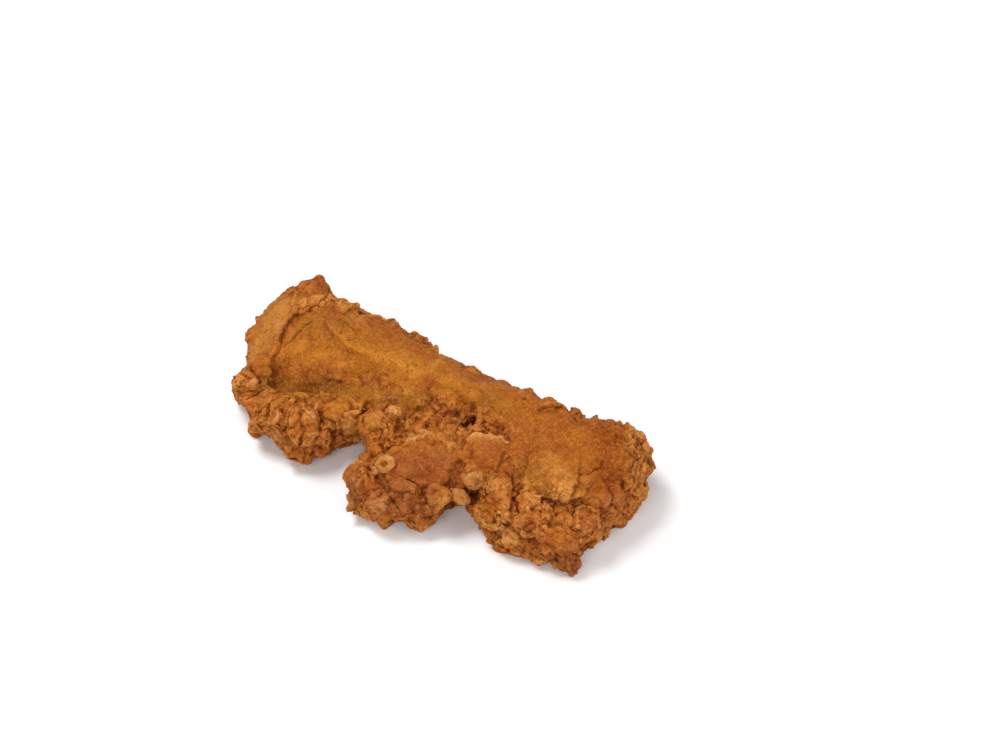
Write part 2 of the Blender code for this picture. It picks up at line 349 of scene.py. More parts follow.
def joined_copies(name, shapes, faces, numbers, frames, centres):
    """One mesh of many copies: shapes[number] turned and sized by its frame, at its centre."""
    points = np.einsum("nij,nvj->nvi", frames, shapes[numbers]) + centres[:, None]
    count, each = points.shape[:2]
    corners = faces[None] + (np.arange(count) * each)[:, None, None]
    mesh = bpy.data.meshes.new(name)
    mesh.from_pydata(points.reshape(-1, 3), [], corners.reshape(-1, faces.shape[1]))
    obj = bpy.data.objects.new(name, mesh)
    bpy.context.scene.collection.objects.link(obj)
    return obj


def join_into(obj, others):
    """Makes the other objects' meshes part of the first one's."""
    bpy.ops.object.select_all(action="DESELECT")
    for other in others:
        other.select_set(True)
    obj.select_set(True)
    bpy.context.view_layer.objects.active = obj
    bpy.ops.object.join()


# Name: pixel, (length, width) in mm, turn on the photo in degrees, height over the crust in mm.
LUMPS = {
    "end_knob": ((246, 385), (6.6, 6), 20, 2.2),
    "end_nub": ((253, 383), (2.6, 2.2), 60, 3),
    "corner_chunk": ((260, 368), (7, 6.4), -15, 2.2),
    "flap_corner": ((259, 423), (6, 5), 30, 1.2),
    "flap_second": ((279, 424), (5.6, 8), 10, 1.2),
    "flap_front": ((299, 428), (8.6, 10), -10, 1.8),
    "flap_third": ((323, 433), (4.8, 8), 20, 1.4),
    "flap_knob": ((350, 427), (8.4, 9), 0, 2),
    "flap_top": ((337, 411), (7, 5), 30, 1),
    "flap_inner": ((300, 404), (6, 4), 10, 0.8),
    "flap_bar": ((311, 415), (3.2, 1.4), -35, 2),
    "flap_shard": ((317, 407), (4.2, 1.8), 55, 1.2),
    "flap_crest": ((326, 440), (2.4, 6.4), -20, 2),
    "flap_tip": ((301, 456), (6, 5), 0, 1.2),
    "flap_tip_left": ((290, 449), (4.6, 4.2), 40, 1),
    "flap_low_right": ((322, 450), (5.4, 4), -30, 1),
    "shoulder": ((376, 424), (8.4, 12), 15, 2),
    "shoulder_pearl": ((393, 412), (4.2, 4), 0, 1.6),
    "shoulder_low": ((377, 446), (6, 5), 60, 1.2),
    "saddle_left": ((422, 414), (6, 5), 20, 0.8),
    "saddle_lump": ((446, 401), (8, 6), -20, 1.4),
    "saddle_right": ((452, 420), (6, 7), 30, 1.4),
    "saddle_high": ((470, 396), (6, 4.4), -10, 0.9),
    "pit_side": ((482, 414), (5.4, 5), 40, 1.2),
    "pit_low": ((475, 428), (5, 3.6), 0, 1.1),
    "middle_crumbs": ((452, 447), (6, 5), 20, 0.8),
    "lobe_tip": ((362, 483), (6, 7), 0, 1.6),
    "lobe_tip_top": ((362, 468), (5, 4), 40, 1.4),
    "lobe_foot": ((381, 506), (8, 7.4), 10, 1.9),
    "lobe_left": ((364, 499), (5, 4.4), -30, 1.3),
    "lobe_red": ((410, 499), (9.6, 10), 30, 1.6),
    "lobe_drop": ((414, 522), (6.4, 7), 0, 1.5),
    "lobe_corner": ((437, 497), (6.4, 5.6), 20, 1.5),
    "lobe_low_right": ((431, 512), (5, 4.6), -20, 1),
    "lobe_top_left": ((396, 453), (4.4, 3), 50, 1),
    "brow": ((472, 479), (5.6, 5), 0, 1.5),
    "brow_right": ((484, 488), (5, 4), -30, 1.3),
    "skirt_yellow": ((499, 492), (4, 7), 10, 1.4),
    "skirt_yellow_low": ((492, 507), (4.6, 5), 20, 1.5),
    "skirt_middle": ((508, 511), (5, 4.6), 0, 1.5),
    "skirt_red": ((530, 526), (8, 6.6), 10, 1),
    "skirt_inner": ((520, 502), (6, 5), -30, 0.9),
    "skirt_round": ((556, 541), (10, 7.6), -10, 1.3),
    "skirt_crag": ((560, 524), (6, 4), 40, 1.2),
    "skirt_crag_top": ((566, 511), (5, 4.4), 0, 1.3),
    "skirt_granular": ((588, 526), (8, 10), -20, 1.2),
    "skirt_low": ((530, 546), (6, 4), -20, 0.8),
    "end_edge": ((613, 503), (7, 9), 10, 1.3),
    "end_block": ((598, 497), (6.4, 6), 30, 1.2),
    "end_high": ((630, 468), (7, 8), 0, 1),
    "end_top": ((622, 436), (7, 5), -20, 0.8),
    "back_nub": ((592, 415), (4, 2.6), 10, 0.9),
    "notch_nub": ((345, 301), (5, 4), -30, 1.2),
    "rim_top": ((316, 284), (8, 4.6), 10, 0.9),
    "drip_root": ((566, 560), (8, 4.4), -20, 0.9),
    "drip_tip": ((574, 566), (3, 6.4), 20, 0.8),
}
LUMP_THICKNESS = 0.8  # of a lump's mean width


def frame_at(pixel, sizes, turn, facing=0):
    """A frame on the crust under a pixel: X along the turn on the photo, Z along the normal, which
    leans towards the camera's side by facing."""
    place, normal = on_crust(*pixel)
    normal = (normal + view_back * facing).normalized()
    along = view_right * math.cos(math.radians(turn)) + view_up * math.sin(math.radians(turn))
    side = normal.cross(along).normalized()
    along = side.cross(normal)
    columns = [axis * size / 2 for axis, size in zip((along, side, normal), sizes)]
    return place, normal, Matrix(columns).transposed()


def scatter(obj, count, density, rng):
    """Random places on the surface, with their normals, crowded where density is high."""
    mesh = obj.data
    mesh.calc_loop_triangles()
    corners = np.empty(len(mesh.loop_triangles) * 3, np.int32)
    mesh.loop_triangles.foreach_get("vertices", corners)
    a, b, c = points_of(obj)[corners.reshape(-1, 3)].transpose(1, 0, 2)
    normals = np.cross(b - a, c - a)
    area = np.linalg.norm(normals, axis=1)
    share = area * density((a + b + c) / 3)
    picks = rng.choice(len(share), count, p=share / share.sum())
    u, v = rng.random((2, count))
    u, v = np.where(u + v > 1, (1 - u, 1 - v), (u, v))
    places = a[picks] + (b - a)[picks] * u[:, None] + (c - a)[picks] * v[:, None]
    return places, normals[picks] / area[picks][:, None]


def random_frames(normals, sizes, rng, lean=0.5):
    """Frames with Z near each normal, leaning at random, and turned at random about it."""
    up = normals + rng.normal(0, lean, normals.shape)
    up /= np.linalg.norm(up, axis=1)[:, None]
    along = np.cross(up, rng.normal(0, 1, up.shape))
    along /= np.linalg.norm(along, axis=1)[:, None]
    side = np.cross(up, along)
    return np.stack([along, side, up], axis=2) * sizes[:, None]


FIELD_SEED = 2  # without a seed the field would differ from run to run
noise.seed_set(FIELD_SEED)


def wobbled(points, size, strength):
    """The points pushed about by a smooth random field, so that what is drawn on them is uneven."""
    return points + strength * np.array([noise.noise_vector(p) for p in (points / size).tolist()])


NEIGHBOURS = 8
BATCH = 30000


def tree_of(points):
    tree = kdtree.KDTree(len(points))
    for number, point in enumerate(points.tolist()):
        tree.insert(point, number)
    tree.balance()
    return tree


def packed(points, places, frames, lifts, tilts, crown, crease, depth):
    """Lumps packed like broken tiles, each a tilted block that falls away by crown to its sides, with
    creases between: the height, the lump that each point is on, and how deep it is in a crease."""
    tree = tree_of(places)
    near = np.array([[number for _, number, _ in tree.find_n(point, NEIGHBOURS)]
                     for point in points.tolist()])
    inward = np.linalg.inv(frames)
    height, seam = np.empty((2, len(points)))
    owner = np.empty(len(points), int)
    for start in range(0, len(points), BATCH):
        part = slice(start, start + BATCH)
        local = np.einsum("mkij,mkj->mki", inward[near[part]], points[part, None] - places[near[part]])
        away = np.linalg.norm(local, axis=2)
        rows = np.arange(len(away))
        first, second = np.argsort(away, axis=1)[:, :2].T
        gap = away[rows, second] - away[rows, first]
        owner[part] = near[part][rows, first]
        crowned = np.clip(1 - crown * away[rows, first] ** 2, 0.1, 1)
        slope = np.clip((local[rows, first, :2] * tilts[owner[part]]).sum(axis=1), -0.9, 0.9)
        seam[part] = np.exp(-(gap / crease) ** 2)
        height[part] = lifts[owner[part]] * (crowned + slope) * (1 - depth * seam[part])
    return height, owner, seam


# The drawn lumps' places and sizes, then random ones between them wherever there is room.
BLOCK_TRIES = 5000
BLOCK_LEAST, BLOCK_MORE = 1.4, 1.6  # its size in mm, and what chance adds
BLOCK_OVERLAP = 0.85
rng = np.random.default_rng(11)
places, frames, spreads, lifts, blocks = [], [], [], [], []
for pixel, (length, width), turn, height in LUMPS.values():
    thickness = LUMP_THICKNESS * (length + width) / 2
    place, normal, frame_here = frame_at(pixel, (length * MM, width * MM, thickness * MM), turn)
    places.append(place)
    frames.append(np.array(frame_here))
    spreads.append((length + width) / 4 * MM)
    lifts.append(0.5 * height * MM)
    blocks.append(place + normal * (height - thickness / 2) * MM)
drawn = len(LUMPS)
candidates, candidate_normals = scatter(crust, BLOCK_TRIES, lambda p: np.ones(len(p)), rng)
for candidate, normal in zip(candidates, candidate_normals):
    spread = (BLOCK_LEAST + BLOCK_MORE * rng.random() ** 1.5) * MM
    away = np.linalg.norm(np.array(places) - candidate, axis=1)
    if np.all(away > BLOCK_OVERLAP * (spread + np.array(spreads))):
        sizes = spread * rng.uniform(0.7, 1.35, (1, 3))
        places.append(candidate)
        frames.append(random_frames(normal[None], sizes, rng, 0.2)[0])
        spreads.append(spread)
        lifts.append(spread * rng.uniform(0.25, 0.8))
places, frames, lifts = np.array(places), np.array(frames), np.array(lifts)
tilts = rng.uniform(-0.7, 0.7, (len(places), 2))
tilts[:drawn] *= 0.5

cage_numbers = rng.integers(0, LUMP_SHAPES, drawn)
joined_lumps = joined_copies("lumps", lump_points, lump_quads, cage_numbers, frames[:drawn],
                             np.array(blocks))


def scattered_lumps(count, smallest, largest, seed):
    """Chunks of random sizes, half sunk where the crust is craggy."""
    rng = np.random.default_rng(seed)
    places, normals = scatter(crust, count, lambda p: 0.02 + roughness_at(p) ** 2, rng)
    size = smallest + (largest - smallest) * rng.random(count) ** 2
    sizes = size[:, None] * rng.uniform(0.7, 1.3, (count, 3)) / 2
    centres = places - normals * (size * rng.uniform(0.15, 0.45, count))[:, None]
    numbers = rng.integers(0, LUMP_SHAPES, count)
    return joined_copies("crags", lump_points, lump_quads, numbers,
                         random_frames(normals, sizes, rng), centres)


CRUST_VOXEL = 0.34 * MM
BLOCK_LOWERED = 0.35  # by this share of their mean height, where they weren't drawn
CRUST_SUNK = 0.5 * MM
finish_with(crust, "REMESH", mode="VOXEL", voxel_size=CRUST_VOXEL)
crust_points, crust_normals = points_of(crust), normals_of(crust)
uneven_points = wobbled(wobbled(crust_points, 3.2 * MM, 0.8 * MM), 1.3 * MM, 0.3 * MM)
heights, owners, seams = packed(uneven_points, places, frames, lifts, tilts,
                                crown=0.08, crease=0.14, depth=0.7)
heights = np.where(owners < drawn, heights,
                   (heights - BLOCK_LOWERED * lifts.mean()) * roughness_at(crust_points))
block_points = crust_points + crust_normals * (heights - CRUST_SUNK)[:, None]
block_marks = np.stack([rng.random(len(places))[owners], seams], axis=1)
move_points(crust, block_points)
join_into(crust, [joined_lumps,
                  scattered_lumps(count=70, smallest=1.6 * MM, largest=3 * MM, seed=3),
                  scattered_lumps(count=220, smallest=0.9 * MM, largest=1.7 * MM, seed=4)])
finish_with(crust, "REMESH", mode="VOXEL", voxel_size=CRUST_VOXEL)
finish_with(crust, "SMOOTH", factor=0.5, iterations=1)

# The lumps themselves are clotted from smaller ones, which lie shallow where the crust is smooth.
CLOTS = 2800
CLOT_LEAST, CLOT_MORE = 0.7, 2.4  # its size in mm, and what chance adds
CLOT_SHALLOW = 0.15
crust_points, crust_normals = points_of(crust), normals_of(crust)
clots, clot_normals = scatter(crust, CLOTS, lambda p: np.ones(len(p)), rng)
clot_sizes = (CLOT_LEAST + CLOT_MORE * rng.random((CLOTS, 1)) ** 2.5) * MM
clot_frames = random_frames(clot_normals, clot_sizes * rng.uniform(0.7, 1.3, (CLOTS, 3)), rng, 0.2)
clot_lifts = rng.uniform(0.2, 0.5, CLOTS) * MM
clot_tilts = rng.uniform(-1.2, 1.2, (CLOTS, 2))
heights, owners, seams = packed(wobbled(crust_points, 1.1 * MM, 0.25 * MM), clots, clot_frames,
                                clot_lifts, clot_tilts, crown=0.03, crease=0.12, depth=0.4)
clot_marks = np.stack([rng.random(CLOTS)[owners], seams], axis=1)
heights *= CLOT_SHALLOW + (1 - CLOT_SHALLOW) * roughness_at(crust_points)
move_points(crust, crust_points + crust_normals * heights[:, None])

# Crust: plates, cracks and the fine surface
# Where the batter set as a skin it stands over its surroundings as a plate with a sharp edge, and
# where the strip bent as it fried it cracked. Everything is then roughened.

# Name: outline on the photo, height in mm, and where its rise starts and is full, or nothing.
PLATES = {
    "plate": ([(466, 440), (474, 433), (490, 432), (502, 437), (511, 442), (506, 452), (498, 462),
               (493, 473), (482, 476), (468, 470), (462, 455)], 1.1, ((470, 474), (488, 452))),
    "dome_tongue": ([(536, 445), (560, 436), (578, 448), (580, 470), (577, 487), (570, 496),
                     (564, 503), (560, 498), (553, 500), (546, 498), (541, 501), (533, 505),
                     (529, 512), (519, 511), (517, 500), (524, 488), (528, 465)],
                    1.3, ((550, 448), (551, 486))),
    "lobe_pan": ([(386, 452), (402, 444), (425, 441), (444, 446), (452, 462), (447, 480),
                  (436, 490), (420, 486), (408, 493), (396, 492), (386, 478)],
                 1, ((430, 445), (412, 474))),
    "roll_lip": ([(248, 366), (246, 340), (252, 315), (270, 296), (292, 285), (300, 296),
                  (290, 312), (283, 330), (275, 352), (268, 366)], 0.5, ((255, 322), (278, 330))),
    "lip_facet": ([(291, 304), (299, 290), (312, 285), (328, 287), (335, 297), (327, 303),
                   (318, 309), (306, 310), (297, 316)], 0.9, ((328, 284), (306, 306))),
    "skirt_lip": ([(467, 506), (474, 504), (488, 516), (504, 523), (516, 529), (508, 533),
                   (490, 527), (474, 517)], 0.8, None),
    "brow_tongues": ([(478, 470), (500, 472), (512, 478), (512, 492), (509, 504), (513, 514),
                      (506, 521), (500, 514), (494, 517), (488, 508), (490, 494), (480, 486)],
                     0.8, None),
    "back_flake": ([(520, 402), (548, 390), (572, 400), (558, 406), (547, 409), (536, 413)],
                   0.6, ((545, 392), (548, 406))),
}
# Name: line on the photo, reach and depth in mm.
CRACKS = {
    "roll": ([(275, 356), (279, 348), (283, 334), (288, 324)], 0.5, 0.8),
    "roll_top": ([(288, 324), (293, 316), (301, 311), (309, 306)], 0.5, 0.6),
    "second_roll": ([(283, 346), (290, 341), (297, 334), (303, 326), (311, 320)], 0.35, 0.7),
    "lip_top_crack": ([(331, 287), (326, 297), (318, 304)], 0.3, 0.5),
    "ridge_crack": ([(346, 320), (340, 333)], 0.3, 0.4),
    "corner_shadow": ([(273, 366), (275, 374), (269, 382)], 0.7, 0.8),
    "knob_seam": ([(240, 372), (250, 378), (260, 382), (263, 389), (256, 394), (246, 398)],
                  0.4, 0.6),
    "lobe_crevice": ([(372, 468), (379, 480), (388, 492), (397, 509)], 0.5, 0.9),
    "flap_gap": ([(334, 424), (336, 436), (331, 447)], 0.5, 0.6),
    "flap_split": ([(302, 411), (299, 421), (304, 431), (300, 444)], 0.5, 0.9),
    "flap_split_left": ([(286, 430), (294, 427), (299, 421)], 0.4, 0.6),
    "flap_gap_left": ([(288, 412), (287, 424), (282, 436)], 0.4, 0.8),
    "shoulder_edge": ([(366, 402), (363, 414), (362, 428)], 0.5, 1),
    "dome_crack": ([(575, 475), (581, 474), (586, 475), (592, 471), (599, 469), (603, 462)],
                   0.28, 0.6),
    "back_split": ([(538, 411), (549, 407), (560, 405)], 0.4, 0.9),
}
# Name: pixel, reach and depth in mm.
PITS = {
    "pit": ((468, 419), 2, 1.6), "pit_top": ((472, 410), 1, 0.8),
    "cavity": ((474, 498), 1.8, 1), "cavity_right": ((483, 500), 1.4, 0.6),
    "dimple": ((525, 398), 0.45, 0.7),
    "small_pit": ((290, 322), 0.5, 0.9),
    "red_dent": ((615, 528), 0.8, 1.2),
}


def on_photo(points):
    """Where points show on the photo, in pixels."""
    away = points - np.array(view_place)
    depth = -away @ np.array(view_back)
    scale = LENS / SENSOR * PHOTO_WIDTH / depth
    return np.stack([PHOTO_WIDTH / 2 + away @ np.array(view_right) * scale,
                     PHOTO_HEIGHT / 2 - away @ np.array(view_up) * scale], axis=1)


def plate_cover(spots, outline, softness):
    """1 inside an outline drawn on the photo and 0 outside, over an edge a few pixels wide."""
    corners = np.array(outline, float)
    away = np.full(len(spots), np.inf)
    inside = np.zeros(len(spots), bool)
    for start, end in zip(corners, np.roll(corners, -1, axis=0)):
        along = end - start
        share = np.clip((spots - start) @ along / (along @ along), 0, 1)
        away = np.minimum(away, np.linalg.norm(spots - start - share[:, None] * along, axis=1))
        crosses = (start[1] > spots[:, 1]) != (end[1] > spots[:, 1])
        slope = along[0] / (along[1] or 1e-9)
        inside ^= crosses & (spots[:, 0] < start[0] + (spots[:, 1] - start[1]) * slope)
    return np.clip(0.5 + np.where(inside, away, -away) / softness, 0, 1)


PLATE_EDGE = 1.4  # pixels
crust_points, crust_normals = points_of(crust), normals_of(crust)
uneven_points = wobbled(crust_points, 1.5 * MM, 0.35 * MM)
spots = on_photo(wobbled(crust_points, 1.8 * MM, 0.9 * MM))
faces_lens = np.clip(crust_normals @ np.array(view_back) * 3, 0, 1)
raised = np.zeros(len(crust_points))
for outline, height, rise in PLATES.values():
    share = 1
    if rise:
        start, end = np.array(rise, float)
        share = np.clip((spots - start) @ (end - start) / ((end - start) @ (end - start)), 0, 1)
    raised += height * MM * share * faces_lens * plate_cover(spots, outline, PLATE_EDGE)
pressed = np.zeros(len(crust_points))
for pixels, reach, depth in CRACKS.values():
    crack = nearness(uneven_points, sight_path(pixels, spacing=0.8), reach * MM)
    pressed = np.maximum(pressed, depth * MM * crack)
for pixel, reach, depth in PITS.values():
    place, normal = on_crust(*pixel)
    path = [place - normal * (depth * MM) * i / 4 for i in range(5)]
    pressed = np.maximum(pressed, depth * MM * nearness(uneven_points, path, reach * MM))
move_points(crust, crust_points + crust_normals * (raised - pressed)[:, None])

mark_rough(crust)
displace(crust, "CLOUDS", 2.4 * MM, 0.4 * MM, middle=0.3, group="rough", noise_depth=1,
         noise_type="HARD_NOISE")
displace(crust, "CLOUDS", 1.1 * MM, 0.1 * MM, group="rough", noise_depth=2)
displace(crust, "VORONOI", 0.9 * MM, -0.12 * MM, middle=0.4)
displace(crust, "CLOUDS", 3.4 * MM, 0.5 * MM, noise_depth=3)
# The last small shifts of the edge, given as PUSHES are. What then reaches out of the solid's box, or
# near its top, is pressed halfway back, and what reaches below the table is pressed up to it.
TRIMS = {
    "back_first": ([(387, 316), (398, 323)], (-1, 8), 2.6),
    "back_second": ([(416, 331), (432, 342), (444, 352)], (-2, 10), 2.8),
    "back_third": ([(467, 365), (478, 368)], (-1, 4), 2),
    "back_split": ([(530, 393), (538, 397)], (0, -5), 1.8),
    "back_fourth": ([(552, 397), (562, 401)], (-1, 4), 2),
    "back_fifth": ([(573, 409)], (-1, 8), 2),
    "back_nub": ([(588, 415), (598, 417)], (0, -7), 1.8),
    "end_back": ([(614, 420), (638, 429)], (-1, 7), 2.5),
    "end_tip": ([(648, 441)], (3, 0), 2),
    "end_side": ([(647, 492)], (-8, -1), 2.4),
    "end_dent": ([(611, 532)], (6, 9), 2.8),
    "drip_side": ([(585, 554)], (-7, -2), 1.8),
    "drip_corner": ([(592, 549)], (-1, -5), 1.8),
    "drip_tip": ([(584, 565)], (-3, 0), 1.8),
    "skirt_foot": ([(523, 556), (543, 562)], (0, 3), 2),
    "skirt": ([(492, 547), (504, 555), (520, 557)], (1, -5), 2),
    "second_notch": ([(449, 509), (459, 505)], (-3, -5), 2),
    "lobe_low": ([(384, 523), (397, 522)], (0, 6), 2),
    "lobe_drop": ([(415, 532)], (0, -3), 1.6),
    "lobe_top": ([(345, 475)], (9, 2), 2.6),
    "lobe_side": ([(345, 499), (352, 514)], (4, -2), 2),
    "notch": ([(363, 450)], (5, 0), 1.8),
    "flap_edge": ([(350, 446)], (0, -4), 1.5),
    "flap_tip": ([(294, 461)], (1, -6), 1.8),
    "flap_step": ([(281, 453)], (-4, 5), 2),
    "flap_corner": ([(256, 436), (272, 440)], (0, -4), 2),
    "flap_side": ([(247, 420)], (-4, 0), 1.6),
    "roll_side": ([(246, 350)], (-3, 0), 2.4),
    "roll_top": ([(294, 283)], (-2, -4), 2.4),
}
TOP_SLACK = 0.6 * MM
crust_points = pushed(points_of(crust), TRIMS)
low, high = np.array(cad_box[0]), np.array(cad_box[1]) - (0, 0, TOP_SLACK)
clot_points = crust_points - (crust_points - np.clip(crust_points, low, high)) / 2
clot_points[:, 2] = np.maximum(clot_points[:, 2], 0)
move_points(crust, clot_points)

CRUST_TRIANGLES = 196000
triangles = sum(len(face.vertices) - 2 for face in crust.data.polygons)
finish_with(crust, "DECIMATE", ratio=CRUST_TRIANGLES / triangles)
bpy.ops.object.select_all(action="DESELECT")
crust.select_set(True)
bpy.context.view_layer.objects.active = crust
bpy.ops.object.shade_smooth()


def hollows(obj, rounds):
    """How far each point lies below the mean of its neighbourhood, in metres along its normal."""
    points = points_of(obj)
    edges = np.empty(len(obj.data.edges) * 2, np.int32)
    obj.data.edges.foreach_get("vertices", edges)
    a, b = edges.reshape(-1, 2).T
    ends, others = np.concatenate([a, b]), np.concatenate([b, a])
    count = np.bincount(ends, minlength=len(points))
    mean = points.copy()
    for _ in range(rounds):
        mean = np.stack([np.bincount(ends, mean[others, axis], len(points)) / count
                         for axis in range(3)], axis=1)
    return ((mean - points) * normals_of(obj)).sum(axis=1)


def paint(obj, name, values):
    """Stores a value from 0 to 1 at each point, which the colours read by its name."""
    attribute = obj.data.attributes.new(name, "FLOAT", "POINT")
    attribute.data.foreach_set("value", np.clip(values, 0, 1).astype(np.float32))


# Name: rounds of averaging, more of them for wider hollows, and the full range of their depth.
HOLLOWS = {"crevice": (4, 0.5 * MM), "dip": (15, 1.2 * MM), "hollow": (45, 2.4 * MM)}
# The colours read these depths to paint shade into hollows and highlights onto what stands out.
for name, (rounds, deep) in HOLLOWS.items():
    paint(crust, name, 0.5 + hollows(crust, rounds) / deep)
paint(crust, "craggy", roughness_at(points_of(crust)))
# Each point's random lump tint and its depth in a seam; the seams carry painted shade.
for old_points, marks, names in ((block_points, block_marks, ("block", "block_seam")),
                                 (clot_points, clot_marks, ("clot", "clot_seam"))):
    tree = tree_of(old_points)
    nearest = [tree.find(point)[1] for point in points_of(crust).tolist()]
    for name, values in zip(names, marks[nearest].T):
        paint(crust, name, values)

# Crust: colour
# Deep frying turns the flour honey gold where it lies smooth, straw yellow where it is thick,
# rusty where it stands out or the spice gathers, and olive where the moist groove kept it from the oil.
# Shade is also painted dark into its pits, hollows and creases, and highlights pale onto its raised tops
# and edges.

# Name: strokes on the photo, each with its reach in mm and its strength.
FRY_ZONES = {
    "gold": [([(300, 350), (360, 350), (420, 370), (465, 392)], 6.5, 1),
             ([(500, 405), (540, 420)], 4, 0.5), ([(350, 424)], 4, 1),
             ([(575, 440), (590, 460)], 4, 0.7), ([(336, 408), (352, 402)], 3, 0.9),
             ([(540, 396), (570, 404)], 3, 0.5), ([(376, 420)], 3, 0.6)],
    "straw": [([(258, 348), (266, 325), (284, 302)], 4.4, 1), ([(310, 292), (325, 300)], 3, 0.6),
              ([(330, 322), (350, 320)], 4, 0.6), ([(548, 462), (562, 478), (560, 494)], 2.8, 0.8),
              ([(503, 488), (505, 508)], 2, 0.5), ([(585, 480), (600, 476)], 2, 0.4),
              ([(474, 434), (502, 438)], 1.5, 0.9), ([(452, 445), (445, 458)], 2.6, 0.6),
              ([(478, 480)], 1.6, 0.8), ([(480, 520), (495, 530)], 2, 0.5),
              ([(412, 434), (432, 434)], 1.6, 0.6), ([(387, 464)], 2.4, 0.5),
              ([(400, 362), (440, 372)], 3, 0.4), ([(645, 455)], 3, 0.5)],
    "rust": [([(345, 290), (325, 282), (305, 278)], 3, 0.8), ([(605, 425), (607, 485)], 4.6, 1),
             ([(632, 440), (625, 500)], 3, 0.25), ([(280, 370), (330, 380), (350, 382)], 3, 0.6),
             ([(430, 385), (422, 405)], 2.6, 1), ([(245, 384)], 2, 0.3),
             ([(290, 440), (330, 450)], 5, 0.2), ([(398, 475), (432, 470)], 5, 0.5),
             ([(530, 525)], 2.4, 1), ([(500, 475), (520, 480)], 3, 0.5),
             ([(590, 515), (605, 510)], 3, 0.6), ([(262, 326)], 0.6, 1),
             ([(440, 398), (480, 405)], 3, 0.5), ([(266, 405), (280, 402)], 2.6, 0.5)],
    # A dark red-brown, partly the batter's own and partly painted shade in the pits and cavities.
    "plum_and_shade": [([(395, 503), (425, 503)], 5, 0.8), ([(350, 480), (358, 502)], 3.4, 0.8),
             ([(556, 556), (578, 566)], 3.6, 1), ([(616, 526)], 1.8, 1), ([(530, 530)], 1.8, 0.8),
             ([(520, 520), (512, 500)], 1.6, 0.6), ([(476, 498)], 2, 0.9)],
    # Painted shade deep in the pits.
    "pit_shade": [([(467, 417), (469, 424)], 2, 1), ([(472, 411)], 1.4, 0.8), ([(616, 528)], 1.1, 0.9),
             ([(475, 498)], 1.4, 0.4), ([(396, 500)], 1.4, 0.5), ([(290, 322)], 0.6, 0.7)],
    "pale": [([(472, 479), (475, 484)], 1.9, 1), ([(380, 507)], 2.6, 0.8),
             ([(474, 434), (504, 438), (508, 446)], 1.1, 0.9), ([(393, 411)], 1.6, 0.8),
             ([(350, 422)], 3, 0.5), ([(376, 416)], 3, 0.4), ([(357, 483), (351, 478)], 0.8, 0.8),
             ([(612, 500)], 2, 0.5), ([(500, 522), (508, 528)], 1.4, 0.7),
             ([(540, 505), (552, 500)], 1.8, 0.5), ([(312, 415)], 1.2, 0.8), ([(316, 407)], 1.2, 0.6),
             ([(277, 325)], 2, 0.4)],
    "rose": [([(590, 525)], 3.4, 0.9), ([(416, 528)], 2, 0.9), ([(612, 505)], 3, 0.6),
             ([(400, 470), (435, 465)], 5.4, 0.7), ([(356, 470)], 2, 0.7),
             ([(440, 405), (455, 425)], 3, 0.6), ([(342, 372), (300, 372)], 2.4, 0.2),
             ([(495, 448)], 3, 0.4), ([(635, 470), (640, 445)], 3, 0.5),
             ([(282, 425), (262, 430)], 3, 0.4), ([(325, 430)], 2.4, 0.5), ([(535, 470)], 3, 0.4),
             ([(316, 285)], 3, 0.4)],
    "toffee": [([(505, 415), (560, 420)], 4.4, 1), ([(540, 455), (560, 440)], 5, 0.4),
               ([(400, 475), (440, 465)], 5, 0.6), ([(440, 372), (475, 395)], 4, 0.5),
               ([(595, 450), (600, 430)], 4, 0.6), ([(489, 503), (494, 508)], 1.8, 0.9),
               ([(430, 400), (460, 415)], 4, 0.5)],
    "olive": [([(266, 386), (300, 390), (358, 391)], 2.5, 1), ([(358, 391), (419, 404)], 2, 0.8),
              ([(290, 395), (320, 398)], 2, 0.5), ([(300, 328), (312, 320)], 2.8, 0.6),
              ([(528, 470), (545, 490)], 3, 0.5), ([(488, 398), (505, 410)], 3, 0.6),
              ([(340, 335), (370, 340)], 4, 0.2)],
}
crust_points = points_of(crust)
for zone, strokes in FRY_ZONES.items():
    weight = np.zeros(len(crust_points))
    for pixels, reach, strength in strokes:
        weight = np.maximum(weight, strength * nearness(crust_points, sight_path(pixels), reach * MM))
    paint(crust, zone, weight)


def node(tree, kind, sockets=(), **settings):
    """Adds a node, sets it, and gives each named socket a value or a link."""
    made = tree.nodes.new(kind)
    for setting, value in settings.items():
        setattr(made, setting, value)
    for name, value in dict(sockets).items():
        if isinstance(value, bpy.types.NodeSocket):
            tree.links.new(value, made.inputs[name])
        else:
            made.inputs[name].default_value = value
    return made


def mixed(tree, factor, a, b, blend="MIX"):
    return node(tree, "ShaderNodeMix", {0: factor, 6: a, 7: b}, data_type="RGBA",
                blend_type=blend).outputs[2]


def ranged(tree, value, low, high, low_out=0, high_out=1):
    made = node(tree, "ShaderNodeMapRange", {"Value": value, "From Min": low, "From Max": high,
                                             "To Min": low_out, "To Max": high_out})
    return made.outputs["Result"]


def product(tree, a, b):
    return node(tree, "ShaderNodeMath", {0: a, 1: b}, operation="MULTIPLY").outputs[0]


def measured(tree, name):
    return node(tree, "ShaderNodeAttribute", attribute_name=name).outputs["Fac"]


def cloudy(tree, spot, scale, detail=3, roughness=0.6):
    made = node(tree, "ShaderNodeTexNoise", {"Vector": spot, "Scale": scale, "Detail": detail,
                                             "Roughness": roughness})
    return made.outputs["Fac"]


HONEY = (0.37, 0.104, 0.01, 1)
TOFFEE = (0.28, 0.063, 0.006, 1)
GOLD = (0.43, 0.148, 0.01, 1)
STRAW = (0.46, 0.184, 0.028, 1)
RUST = (0.24, 0.046, 0.003, 1)
